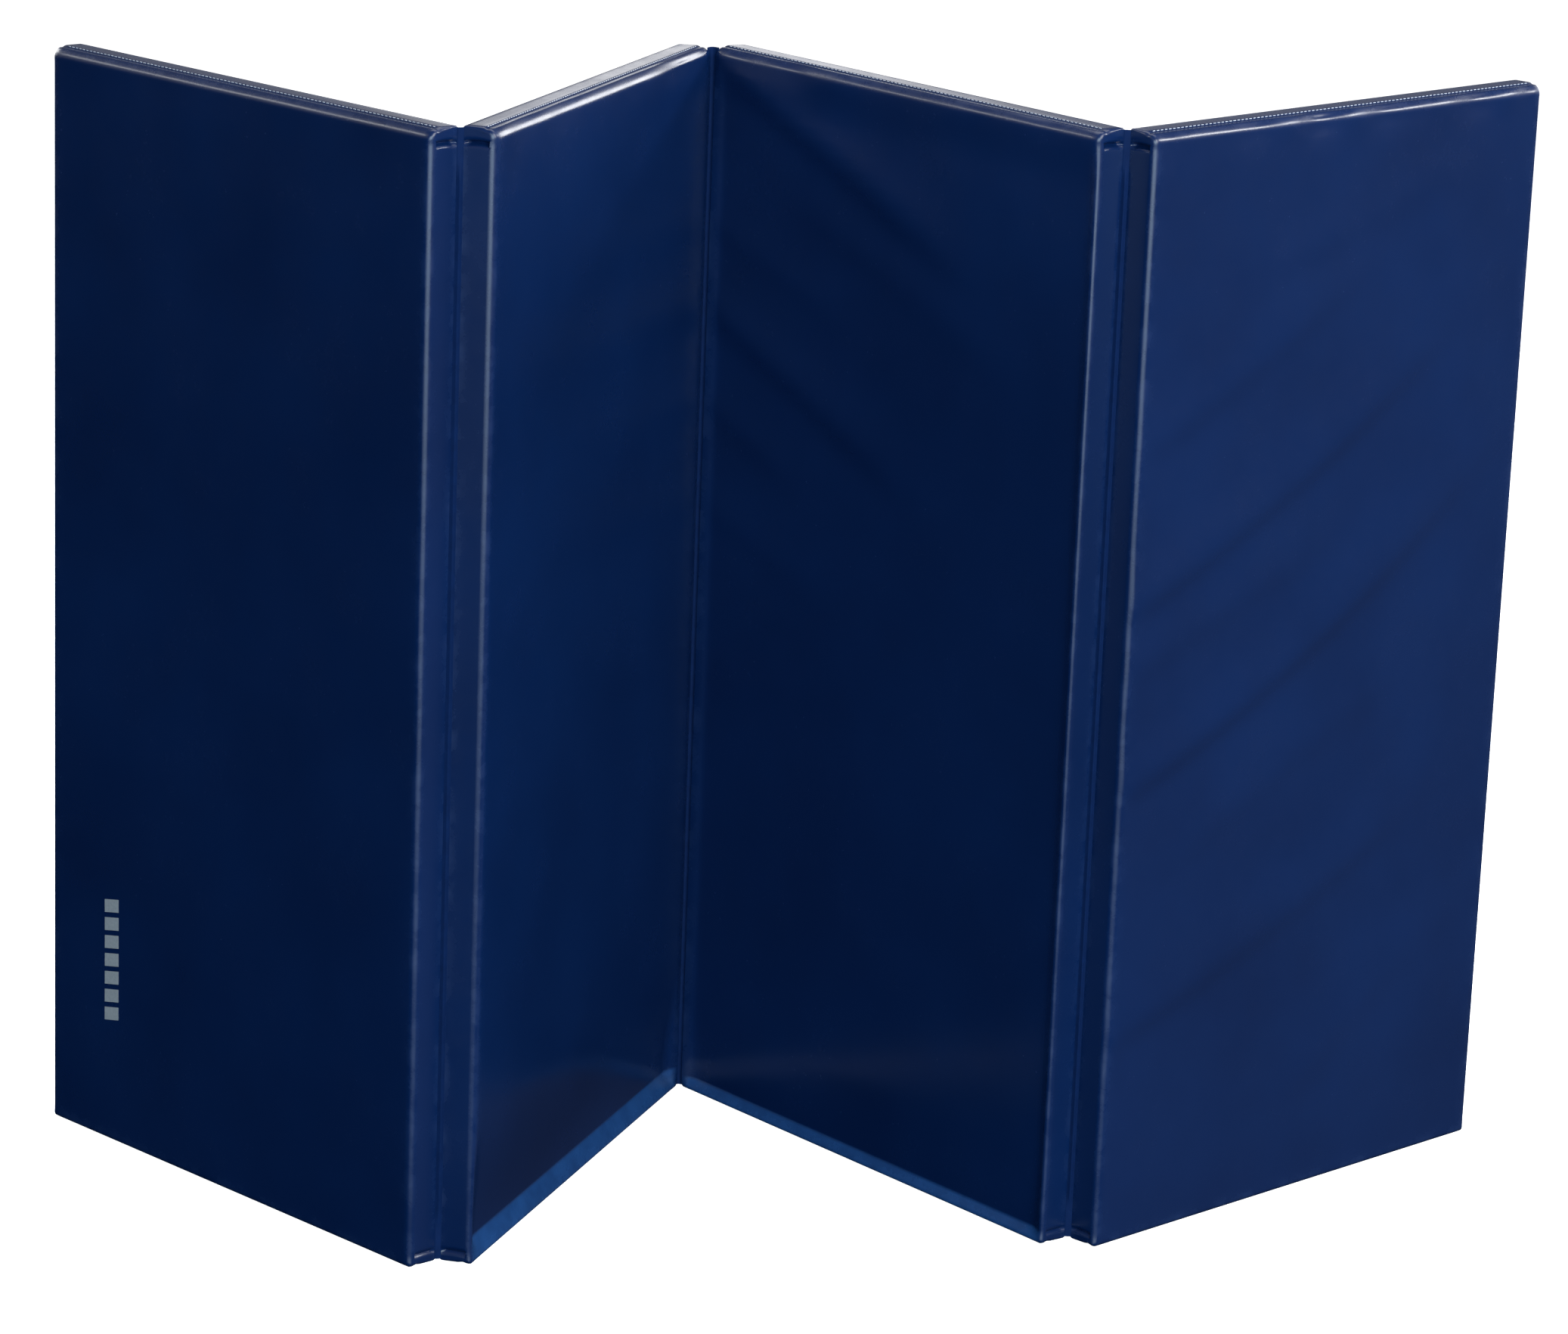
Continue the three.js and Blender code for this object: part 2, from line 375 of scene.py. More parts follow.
def front_relief(panel, x, z):
    """How far the front cover stands out from its flat face at (x, z)."""
    number = panel.number
    edge = end_fade(panel, x, RELIEF_END)
    low = smoothstep(*RELIEF_FOOT, z)
    relief = SOFTNESS * waves(10 + number, x, z, (0.16, 0.42)) * edge * low
    under_top = smoothstep(HEIGHT - INSET_TOP[0], HEIGHT - INSET_TOP[1], z)
    relief = relief - FACE_INSET.get(number, 0.0) * edge * low * under_top
    for fold in FOLDS.get(number, []):
        relief = relief + fold_height(fold, x, z) * smoothstep(*FOLD_END, x)
    if number == 2:
        near_top = smoothstep(HEIGHT - DENT_TOP[1], HEIGHT - DENT_TOP[0], z)
        relief = relief - DENT_DEPTH * (bump(x - DENT_PLACE, DENT_WIDTH) * near_top)
    if number in LEDGE:
        depth, rise = LEDGE[number]
        pinch = np.where(z > rise, smoothstep(LEDGE_FADE * rise, rise, z), np.clip(z / rise, 0, 1))
        relief = relief - depth * pinch * end_fade(panel, x, LEDGE_END)
    return relief


def back_relief(panel, x, z):
    """How far the back cover stands out from its flat face at (x, z)."""
    edge = end_fade(panel, x, RELIEF_END)
    low = smoothstep(*RELIEF_FOOT, z)
    soft = waves(30 + panel.number, x, z, (0.14, 0.40))
    return SOFTNESS * soft * edge * low * smoothstep(HEIGHT, HEIGHT - 40 * MM, z)


def edge_pucker(panel, x):
    """How far the upper front edge stands out at x."""
    height, spacing, extra = PUCKERS[panel.number]
    grow = height + extra * smoothstep(PUCKER_LEFT, 0.0, x)
    ripple = waves(50 + panel.number, x, 0 * x, (0.7 * spacing, 1.8 * spacing), 6)
    return grow * MM * ripple * end_fade(panel, x, PUCKER_END)


def slit_depth(y, z):
    """Depth of the open slits in an end wall, under the top roll and above the foot."""
    arch = np.sin(math.pi * np.clip(y / THICKNESS, 0, 1))
    below_top, top_arch, top_depth, top_width = UPPER_SLIT
    above_foot, foot_arch, foot_depth, foot_width = LOWER_SLIT
    upper = HEIGHT - below_top + top_arch * arch
    lower = above_foot + foot_arch * arch
    reach = smoothstep(0.2 * MM, 3.0 * MM, y) * smoothstep(THICKNESS, THICKNESS - 4 * MM, y)
    depth = top_depth * bump(z - upper, top_width) + foot_depth * bump(z - lower, foot_width)
    return depth * reach


# ---------------------------------------------------------------- covers
def end_radius(kind, rear):
    """Radius of the rounding onto the end wall, row by row."""
    side, top, foot, back = END_RADII[kind]
    face = back if rear else side
    half = REAR_HALF if rear else FRONT_HALF
    near = arc_from_seam(half)
    seam_radius = np.where(half[:, 1] > HEIGHT / 2, top, foot)
    return face + (seam_radius - face) * smoothstep(24 * MM, 2 * MM, near)


def rings(panel, gap):
    """(place along x, turn) of each ring: turn runs from 0 on the faces to 1 at an end wall."""
    margin = END_MARGIN + gap
    count = int((panel.length - 2 * margin) / RING_STEP)
    middle = np.linspace(margin, panel.length - margin, count + 1)
    return ([("left", t) for t in END_TURNS] + [("middle", x) for x in middle]
            + [("right", t) for t in END_TURNS[::-1]])


def skin(panel, rear, gap=0.0):
    """The grid of points of one half of a panel's covers: rings along x, rows round the section.
    A gap makes the panel shorter at its hinged ends, and leaves the slits out."""
    half, out = (REAR_HALF, REAR_OUT) if rear else (FRONT_HALF, FRONT_OUT)
    radius = {"left": end_radius(panel.left, rear), "right": end_radius(panel.right, rear)}
    kinds = {"left": panel.left, "right": panel.right}
    grid = []
    for where, value in rings(panel, gap):
        if where == "middle":
            x = np.full(ROWS, value)
            inset = np.zeros(ROWS)
        else:
            turn = value * math.pi / 2
            from_end = radius[where] * (1 - math.sin(turn))
            inset = radius[where] * (1 - math.cos(turn))
            if kinds[where] != "free":
                slit = slit_depth(half[:, 0], half[:, 1]) if gap == 0.0 else 0.0
                from_end = from_end + gap + slit * math.sin(turn) ** 2
            x = from_end if where == "left" else panel.length - from_end
        relief = back_relief if rear else front_relief
        foot = (half[:, 1] < FOOT_ROLL[1]) * (half[:, 0] < SEAM / 2)
        upright = smoothstep(0.0, 0.9, np.maximum(np.abs(out[:, 0]), 0.8 * foot))
        stand = relief(panel, x, half[:, 1]) * upright
        if not rear:
            upper = smoothstep(HEIGHT - 40 * MM, HEIGHT - 10 * MM, half[:, 1])
            stand = stand + edge_pucker(panel, x) * upper * smoothstep(0.0, 9 * MM, arc_from_seam(half))
        valley = SEAM_VALLEY * bump(arc_from_seam(half), SEAM_WIDTH)
        shift = stand - inset - valley
        points = half + out * shift[:, None]
        points[:, 1] = np.maximum(points[:, 1], FACE_LIMIT[panel.number])
        grid.append(np.column_stack([x, points]))
    return np.array(grid)


CAP_FRONT, CAP_REAR = 4, 7      # columns of an end wall before and behind its seam line


def cap_columns(panel, front, rear, sign, kind, gap):
    """An end wall's points between the last rings of the two halves, row by row."""
    seam = front.copy()
    seam[:, 1] = np.clip(SEAM, front[:, 1], rear[:, 1])
    mix = (seam[:, 1] - front[:, 1]) / np.maximum(rear[:, 1] - front[:, 1], 1e-9)
    seam[:, 2] = front[:, 2] + (rear[:, 2] - front[:, 2]) * mix
    columns = [front + (seam - front) * t for t in np.linspace(0, 1, CAP_FRONT + 1)[1:]]
    columns += [seam + (rear - seam) * t for t in np.linspace(0, 1, CAP_REAR + 1)[1:-1]]
    wall = 0.0 if sign < 0 else panel.length
    for column in columns:
        depth = 0.0
        if kind != "free":
            depth = gap if gap > 0.0 else slit_depth(column[:, 1], column[:, 2])
        column[:, 0] = wall - sign * depth
    return columns


def panel_surface(panel, front, rear, gap=0.0):
    """All points of the closed surface over two half grids, and its faces on the front and back."""
    count, rows = front.shape[:2]
    points = [front.reshape(-1, 3), rear.reshape(-1, 3)]
    front_id = np.arange(count * rows).reshape(count, rows)
    rear_id = front_id + count * rows
    rear_id[:, 0], rear_id[:, -1] = front_id[:, 0], front_id[:, -1]
    total = 2 * count * rows
    sides = {"front": [], "back": []}

    def strip(a, b, side, flip):
        """Quads between two columns of points, or triangles where they meet."""
        a, b = a.tolist(), b.tolist()
        for v in range(rows - 1):
            quad = list(dict.fromkeys([a[v], b[v], b[v + 1], a[v + 1]]))
            if len(quad) > 2:
                sides[side].append(quad[::-1] if flip else quad)

    for u in range(count - 1):
        strip(front_id[u], front_id[u + 1], "front", False)
        strip(rear_id[u], rear_id[u + 1], "back", True)

    for sign, ring, kind in ((-1, 0, panel.left), (1, -1, panel.right)):
        ids = [front_id[ring]]
        for column in cap_columns(panel, front[ring], rear[ring], sign, kind, gap):
            points.append(column)
            number = np.arange(total, total + rows)
            number[0], number[-1] = front_id[ring, 0], front_id[ring, -1]
            ids.append(number)
            total += rows
        ids.append(rear_id[ring])
        owner = {"open_front": "front", "open_back": "back"}.get(kind)
        for j in range(len(ids) - 1):
            side = owner or ("front" if j < CAP_FRONT else "back")
            strip(ids[j], ids[j + 1], side, sign < 0)
    return np.vstack(points), sides


WEAR_REACH, WEAR_NARROW = 9 * MM, 7 * MM


def edge_wear(points, panel):
    """0 on the open faces of a cover and up to 1 along its rubbed edges."""
    x, y, z = points.T
    ends = np.maximum(bump(x, WEAR_REACH), bump(panel.length - x, WEAR_REACH))
    level = np.maximum(bump(HEIGHT - z, WEAR_NARROW), bump(z, WEAR_REACH))
    fronts = np.maximum(bump(y, WEAR_NARROW), bump(THICKNESS - y, WEAR_NARROW))
    return np.clip(np.maximum(ends, level) * fronts, 0, 1)


def painted_foot_light_mask(points, panel):
    """Up to 1 on the strip along the foot of the fronts that are pinched in above the floor: the mask of the
    painted light there.
    """
    if panel.number not in LEDGE:
        return np.zeros(len(points))
    rise = LEDGE[panel.number][1]
    x, y, z = points.T
    in_front = y < SEAM * 1.3
    return smoothstep(rise + 2 * MM, rise - 2 * MM, z) * in_front * end_fade(panel, x, 8 * MM, 2 * MM)


def cover(panel, side, points, faces, material):
    """The front or back cover of a panel, as a skin of vinyl."""
    name = f"{panel.body}_{side}_cover_skin"
    own, own_faces = shell(*part_of(points, faces), SKIN)
    piece = mesh_object(name, panel.world(own), own_faces, material)
    point_value(piece, "wear", edge_wear(own, panel))
    # mask of the painted light along the pinched foot strip
    point_value(piece, "painted_foot_light", painted_foot_light_mask(own, panel))
    smooth(piece)
    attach(piece, panel.body)
    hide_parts(f"{panel.body}_{side}_cover")


# ---------------------------------------------------------------- materials
def new_material(name):
    material = bpy.data.materials.new(name)
    material.use_nodes = True
    tree = material.node_tree
    shader = tree.nodes["Principled BSDF"]
    return material, tree, shader


def node(tree, kind, **values):
    made = tree.nodes.new(kind)
    for key, value in values.items():
        if key in made.inputs:
            made.inputs[key].default_value = value
        else:
            setattr(made, key, value)
    return made


def noise(tree, position, scale, detail=2.0, roughness=0.5):
    made = node(tree, "ShaderNodeTexNoise", Scale=scale, Detail=detail, Roughness=roughness)
    tree.links.new(position.outputs["Object"], made.inputs["Vector"])
    return made.outputs["Fac"]


def ramp(tree, value, stops):
    """A colour ramp over a value, from (place, colour) stops."""
    made = tree.nodes.new("ShaderNodeValToRGB")
    elements = made.color_ramp.elements
    for element, (place, colour) in zip(elements, (stops[0], stops[-1])):
        element.position = place
        element.color = (*colour, 1.0)
    for place, colour in stops[1:-1]:
        elements.new(place).color = (*colour, 1.0)
    tree.links.new(value, made.inputs["Fac"])
    return made.outputs["Color"]


def mix_colour(tree, factor, first, second):
    """A mix of two colours, each a tuple or a socket."""
    made = tree.nodes.new("ShaderNodeMix")
    made.data_type = "RGBA"
    tree.links.new(factor, made.inputs["Factor"])
    sockets = [s for s in made.inputs if s.type == "RGBA"]
    for socket, value in zip(sockets, (first, second)):
        if isinstance(value, tuple):
            socket.default_value = (*value, 1.0)
        else:
            tree.links.new(value, socket)
    return [s for s in made.outputs if s.type == "RGBA"][0]


def arithmetic(tree, operation, first, second):
    """A sum or product of two values, each a number or a socket."""
    made = node(tree, "ShaderNodeMath", operation=operation)
    for socket, value in zip(made.inputs, (first, second)):
        if isinstance(value, (int, float)):
            socket.default_value = value
        else:
            tree.links.new(value, socket)
    return made.outputs[0]


# Base colours of the vinyl: usual, darker patches, a paler navy painted on the pinched foot strip as painted
# light, and rubbed edges.
NAVY = (0.0019, 0.0142, 0.0690)
NAVY_DEEP = (0.0014, 0.0110, 0.0550)
# painted light: the paler navy of the pinched foot strip, for the light it catches from above
NAVY_FOOT_PAINTED_LIGHT = (0.0110, 0.0560, 0.1900)
NAVY_RUBBED = (0.010, 0.030, 0.105)


def vinyl_material():
    """Vinyl-coated cloth: deep navy with slow shade changes, a fine grain, rubbed edges and a paler
    strip along the pinched feet, painted light that stands in for the light the feet catch from above."""
    material, tree, shader = new_material("navy_vinyl")
    links = tree.links
    position = tree.nodes.new("ShaderNodeTexCoord")
    shade = noise(tree, position, 5.0, 3.0)
    base = ramp(tree, shade, [(0.30, NAVY_DEEP), (0.72, NAVY)])
    wear = node(tree, "ShaderNodeAttribute", attribute_name="wear")
    patch = noise(tree, position, 38.0, 4.0, 0.65)
    worn = arithmetic(tree, "MULTIPLY", wear.outputs["Fac"], ramp_value(tree, patch, 0.42, 0.70))
    colour = mix_colour(tree, arithmetic(tree, "MULTIPLY", worn, 0.55), base, NAVY_RUBBED)
    # painted light: a paler navy mixed in along the pinched foot strip, mottled by the patch noise
    foot = node(tree, "ShaderNodeAttribute", attribute_name="painted_foot_light")
    painted_foot_light_share = arithmetic(tree, "MULTIPLY", foot.outputs["Fac"],
                         ramp_value(tree, patch, 0.20, 0.62, 0.55, 1.0))
    colour = mix_colour(tree, painted_foot_light_share, colour, NAVY_FOOT_PAINTED_LIGHT)
    links.new(colour, shader.inputs["Base Color"])

    cloudy = noise(tree, position, 11.0, 3.0)
    smear = noise(tree, position, 70.0, 3.0, 0.6)
    gloss = arithmetic(tree, "ADD", ramp_value(tree, cloudy, 0.25, 0.80, 0.22, 0.27),
                       ramp_value(tree, smear, 0.35, 0.75, 0.0, 0.03))
    gloss = arithmetic(tree, "ADD", gloss, arithmetic(tree, "MULTIPLY", worn, 0.14))
    links.new(gloss, shader.inputs["Roughness"])

    grain = node(tree, "ShaderNodeTexVoronoi", feature="F1", Scale=760.0)
    links.new(position.outputs["Object"], grain.inputs["Vector"])
    orange = noise(tree, position, 210.0, 2.0)
    height = arithmetic(tree, "ADD", arithmetic(tree, "MULTIPLY", grain.outputs["Distance"], 0.4),
                        arithmetic(tree, "MULTIPLY", orange, 0.7))
    relief = node(tree, "ShaderNodeBump", Strength=0.07, Distance=0.00030)
    links.new(height, relief.inputs["Height"])
    links.new(relief.outputs["Normal"], shader.inputs["Normal"])
    shader.inputs["Specular IOR Level"].default_value = 0.5
    shader.inputs["IOR"].default_value = 1.5
    return material


def ramp_value(tree, value, low, high, to_low=0.0, to_high=1.0):
    """value mapped from low..high to to_low..to_high, held at both ends."""
    made = node(tree, "ShaderNodeMapRange", clamp=True)
    tree.links.new(value, made.inputs["Value"])
    for name, number in (("From Min", low), ("From Max", high), ("To Min", to_low), ("To Max", to_high)):
        made.inputs[name].default_value = number
    return made.outputs["Result"]


def simple_material(name, light, dark, scale, rough, bump_height, bump_scale, sheen=0.0, gloss=0.5):
    """A fibrous or cellular surface: two tones mixed by noise, with its own fine relief."""
    material, tree, shader = new_material(name)
    position = tree.nodes.new("ShaderNodeTexCoord")
    tone = noise(tree, position, scale, 4.0, 0.65)
    tree.links.new(ramp(tree, tone, [(0.30, dark), (0.70, light)]), shader.inputs["Base Color"])
    rub = noise(tree, position, scale * 0.4, 3.0)
    tree.links.new(ramp_value(tree, rub, 0.3, 0.7, rough - 0.06, rough + 0.06), shader.inputs["Roughness"])
    fine = noise(tree, position, bump_scale, 3.0, 0.7)
    relief = node(tree, "ShaderNodeBump", Strength=0.5, Distance=bump_height)
    tree.links.new(fine, relief.inputs["Height"])
    tree.links.new(relief.outputs["Normal"], shader.inputs["Normal"])
    shader.inputs["Specular IOR Level"].default_value = gloss
    shader.inputs["Sheen Weight"].default_value = sheen
    shader.inputs["Sheen Roughness"].default_value = 0.5
    return material


VINYL = vinyl_material()
WEB_CLOTH = simple_material("hinge_web_cloth", NAVY, NAVY_DEEP, 80, 0.72, 0.0003, 1400, gloss=0.08)
FOAM = simple_material("closed_cell_foam", (0.72, 0.74, 0.76), (0.62, 0.65, 0.68), 60, 0.85, 0.0004, 900)
LOOP = simple_material("loop_tape_nap", (0.050, 0.052, 0.060), (0.014, 0.015, 0.020), 900, 0.88,
                       0.0005, 2600, sheen=0.35)
HOOK = simple_material("hook_tape_nylon", (0.40, 0.41, 0.40), (0.27, 0.28, 0.27), 500, 0.60, 0.0002, 1500)
THREAD = simple_material("pale_thread", (0.52, 0.55, 0.62), (0.36, 0.39, 0.46), 1500, 0.62, 0.0001, 4000)
INK = simple_material("grey_print_ink", (0.30, 0.33, 0.37), (0.24, 0.27, 0.31), 300, 0.42, 0.00005, 900)


# ---------------------------------------------------------------- foam cores
def foam_core(panel):
    """The foam block that fills a panel's covers, with a little slack under the vinyl."""
    grids = [skin(panel, rear, FOAM_END_GAP) for rear in (False, True)]
    points, sides = panel_surface(panel, *grids, FOAM_END_GAP)
    points, faces = part_of(points, sides["front"] + sides["back"])
    points = points - point_normals(points, faces) * FOAM_SLACK
    piece = mesh_object(f"{panel.body}_foam_block", panel.world(points), faces, FOAM)
    smooth(piece)
    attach(piece, panel.body)
    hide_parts(f"{panel.body}_foam_core")


def fix_normals(piece):
    """Turns the faces of a closed piece outward."""
    work = bmesh.new()
    work.from_mesh(piece.data)
    bmesh.ops.recalc_face_normals(work, faces=work.faces)
    work.to_mesh(piece.data)
    work.free()


# ---------------------------------------------------------------- stitching
def capsules(name, panel, places, directions, radius, length, material):
    """Many short round-ended thread pieces in one object, each centred on a place."""
    sides = 6
    profile = [(-0.5, 0.0), (-0.42, 0.75), (-0.2, 1.0), (0.2, 1.0), (0.42, 0.75), (0.5, 0.0)]
    points, faces = [], []
    for place, direction in zip(places, directions):
        direction = direction / np.linalg.norm(direction)
        side = np.cross(direction, (0.0, 0.0, 1.0))
        side = side / max(np.linalg.norm(side), 1e-9)
        up = np.cross(side, direction)
        start = len(points)
        points.append(place + direction * length * profile[0][0])
        for along, share in profile[1:-1]:
            for k in range(sides):
                angle = math.tau * k / sides
                points.append(place + direction * length * along
                              + (side * math.cos(angle) + up * math.sin(angle)) * radius * share)
        points.append(place + direction * length * profile[-1][0])
        last = len(points) - 1
        bands = len(profile) - 2
        for k in range(sides):
            j = (k + 1) % sides
            faces.append((start, start + 1 + j, start + 1 + k))
            faces.append((last, last - sides + k, last - sides + j))
            for band in range(bands - 1):
                a, b = start + 1 + band * sides, start + 1 + (band + 1) * sides
                faces.append((a + k, a + j, b + j, b + k))
    piece = mesh_object(name, panel.world(np.array(points)), faces, material)
    fix_normals(piece)
    piece.data.shade_smooth()
    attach(piece, panel.body)
    return piece


def seam_stitching(panel, rear):
    """A row of stitches on the back cover's side of the top seam and another along the foot."""
    draw = np.random.default_rng(70 + panel.number)
    places, directions = [], []
    for row in (-3, 2):
        path = rear[:, row]
        for x in np.arange(11 * MM, panel.length - 9 * MM, STITCH_PITCH):
            here = np.array([np.interp(x, path[:, 0], path[:, k]) for k in range(3)])
            here[2] += 0.15 * MM * (1 if row < 0 else 0)
            here[2] = max(here[2], STITCH_RADIUS)
            places.append(here)
            directions.append(np.array([1.0, draw.uniform(-STITCH_SLANT, STITCH_SLANT), 0.0]))
    capsules(f"{panel.body}_seam_stitches", panel, places, directions, STITCH_RADIUS, STITCH_LENGTH, THREAD)


# ---------------------------------------------------------------- hinge webs
def hinge_web(joint):
    """A vinyl strip round the fold axis, sewn in behind the covers of the two panels it joins."""
    name = joint["name"]
    left, right = sorted((PANELS[int(joint[key][-1])] for key in ("parent", "child")),
                         key=lambda p: p.number)
    at_back = left.right == "open_front"
    depth = THICKNESS - WEB_BACK_DEPTH if at_back else WEB_FRONT_DEPTH
    forward = -1.0 if at_back else 1.0   # towards the open side of the fold
    pivot = np.array(joint["pos_m"][:2])
    ends = [left.world(np.array([[left.length, depth, 0.0]]))[0, :2],
            right.world(np.array([[0.0, depth, 0.0]]))[0, :2]]
    tucks = [left.world(np.array([[left.length - WEB_TUCK, depth, 0.0]]))[0, :2],
             right.world(np.array([[WEB_TUCK, depth, 0.0]]))[0, :2]]
    middle_point = (ends[0] + ends[1]) / 2
    facing = (left.inward + right.inward) * forward
    facing /= np.linalg.norm(facing)
    bend = (middle_point + pivot) / 2 if at_back else middle_point + facing * CREASE_DEPTH
    path = [tucks[0] + (ends[0] - tucks[0]) * t for t in steps(0, 1, 3)]
    for t in np.linspace(0, 1, 9):
        path.append((1 - t) ** 2 * ends[0] + 2 * t * (1 - t) * bend + t * t * ends[1])
    path += [ends[1] + (tucks[1] - ends[1]) * t for t in np.linspace(0, 1, 4)[1:]]
    path = np.array(path)
    turn = np.gradient(path, axis=0)
    out = np.column_stack([-turn[:, 1], turn[:, 0]])
    out /= np.linalg.norm(out, axis=1)[:, None]
    if out[len(out) // 2] @ facing < 0:
        out = -out
    middle = bump(np.linspace(-1, 1, len(path)), 0.33)

    low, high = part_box(f"{name}_hinge_web")
    dense = 60 * MM                 # closer rows at the ends of the web
    heights = np.concatenate([steps(low.z, low.z + dense, 12),
                              steps(low.z + dense, high.z - dense, 60),
                              np.linspace(high.z - dense, high.z, 13)])
    points, faces = [], []
    size = len(path)
    for z in heights:
        filled = (smoothstep(low.z + WEB_EMPTY, low.z + WEB_FULL, z)
                  * smoothstep(high.z - WEB_EMPTY, high.z - WEB_FULL, z))
        swell = WEB_SWELL * filled * middle
        face = path + out * (WEB_THICKNESS / 2 + swell)[:, None]
        back = path - out * (WEB_THICKNESS / 2)
        for flat in (face, back):
            points.append(np.column_stack([flat, np.full(size, z)]))
    points = np.vstack(points)
    for level in range(len(heights) - 1):
        base, above = level * 2 * size, (level + 1) * 2 * size
        loop = list(range(size)) + list(range(2 * size - 1, size - 1, -1))
        for i in range(len(loop)):
            j = (i + 1) % len(loop)
            faces.append((base + loop[i], base + loop[j], above + loop[j], above + loop[i]))
    for base in (0, (len(heights) - 1) * 2 * size):
        for i in range(size - 1):
            faces.append((base + i, base + i + 1, base + size + i + 1, base + size + i))
    web = mesh_object(f"{name}_hinge_strip", points, faces, WEB_CLOTH)
    fix_normals(web)
    smooth(web)
    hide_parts(f"{name}_hinge_web")
    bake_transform(web)


# ---------------------------------------------------------------- tape strips and the mark
TAPE_FILL = 0.98                # share of the CAD strip's thickness that the tape fills
TAPE_BACKING, TAPE_PILE = 0.45, 0.50   # shares of that for the backing and for the pile on it
TAPE_RIM = 0.12                 # the least share, at the very rim


def tape(node_name, panel, material, step, relief):
    """One strip of tape on an end wall, filling its CAD node's box, with its own raised surface."""
    local = panel.local(node_points(node_name))
    low, high = local.min(0), local.max(0)
    sign = -1 if low[0] < panel.length / 2 else 1
    wall = high[0] if sign < 0 else low[0]
    wide = max(int((high[1] - low[1]) / step), 6)
    tall = max(int((high[2] - low[2]) / step), 6)
    y, z = np.meshgrid(np.linspace(low[1], high[1], wide + 1), np.linspace(low[2], high[2], tall + 1))
    rim = np.minimum.reduce([y - low[1], high[1] - y, z - low[2], high[2] - z])
    full = (high[0] - low[0]) * TAPE_FILL
    backing = TAPE_BACKING * full * smoothstep(-0.2 * MM, 0.5 * MM, rim)
    pile = TAPE_PILE * full * smoothstep(0.6 * MM, 2.4 * MM, rim) * relief(y, z)
    height = np.maximum(backing + pile, TAPE_RIM * full)
    top = np.column_stack([(wall + sign * height).ravel(), y.ravel(), z.ravel()])
    under = np.column_stack([np.full(y.size, wall), y.ravel(), z.ravel()])
    size = y.size
    faces = []
    grid = np.arange(size).reshape(y.shape)
    for i in range(tall):
        for j in range(wide):
            faces.append((grid[i, j], grid[i, j + 1], grid[i + 1, j + 1], grid[i + 1, j]))
    edge = np.concatenate([grid[0, :-1], grid[:-1, -1], grid[-1, :0:-1], grid[:0:-1, 0]])
    for k in range(len(edge)):
        a, b = edge[k], edge[(k + 1) % len(edge)]
        faces.append((b, a, a + size, b + size))
    faces += [[f[0] + size, f[3] + size, f[2] + size, f[1] + size] for f in faces[:tall * wide]]
    points = np.vstack([top, under])
    piece = mesh_object(f"{node_name}_face", panel.world(points), faces, material)
    fix_normals(piece)
    smooth(piece, 70)
    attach(piece, panel.body)
    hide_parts(node_name)


def nap(y, z):
    """The uneven pile of loop tape."""
    fine = waves(5, y, z, (1.6 * MM, 4.2 * MM), 14)
    coarse = waves(6, y, z, (9 * MM, 24 * MM), 8)
    return 0.72 + 0.14 * fine + 0.12 * coarse


def hooks(y, z):
    """The even rows of small hooks of hook tape."""
    pitch = 1.7 * MM
    row = np.cos(math.tau * y / pitch) * np.cos(math.tau * z / pitch)
    return 0.55 + 0.45 * row


def printed_mark(panel):
    """A plain column of slanted bars low on the first panel's front: a generic printed mark."""
    bars, width, tall, gap, slant = 7, 24 * MM, 15 * MM, 6 * MM, 5 * MM
    left, foot = 92 * MM, 140 * MM
    points, faces = [], []
    across = 6
    for k in range(bars):
        for face in (0, 1):
            for v in (0, 0.25, 0.75, 1):
                for u in np.linspace(0, 1, across):
                    x = left + u * width
                    z = foot + k * (tall + gap) + v * tall + u * slant
                    rise = front_relief(panel, np.array([x]), np.array([z]))[0]
                    points.append((x, -rise - (0.25 * MM if face == 0 else -0.1 * MM), z))
        base = k * 2 * 4 * across
        for v in range(3):
            for u in range(across - 1):
                a = base + v * across + u
                quad = [a, a + 1, a + 1 + across, a + across]
                faces.append(quad)
                faces.append([i + 4 * across for i in quad[::-1]])
        rim = ([base + u for u in range(across)] + [base + v * across + across - 1 for v in (1, 2, 3)]
               + [base + 3 * across + u for u in range(across - 2, -1, -1)]
               + [base + v * across for v in (2, 1)])
        for i, a in enumerate(rim):
            b = rim[(i + 1) % len(rim)]
            faces.append([b, a, a + 4 * across, b + 4 * across])
    piece = mesh_object(f"{panel.body}_printed_mark", panel.world(np.array(points)), faces, INK)
    fix_normals(piece)
    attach(piece, panel.body)


# ---------------------------------------------------------------- build
for panel in PANELS.values():
    front_grid, rear_grid = skin(panel, False), skin(panel, True)
    points, sides = panel_surface(panel, front_grid, rear_grid)
    for side in ("front", "back"):
        cover(panel, side, points, sides[side], VINYL)
    foam_core(panel)
    seam_stitching(panel, rear_grid)

for joint in frame["joints"]:
    hinge_web(joint)

for node_name in frame["nodes"]:
    if "_end_" not in node_name:
        continue
    panel = PANELS[1] if node_name.startswith("left") else PANELS[4]
    if "loop" in node_name:
        tape(node_name, panel, LOOP, 1.1 * MM, nap)
    else:
        tape(node_name, panel, HOOK, 0.45 * MM, hooks)

printed_mark(PANELS[1])


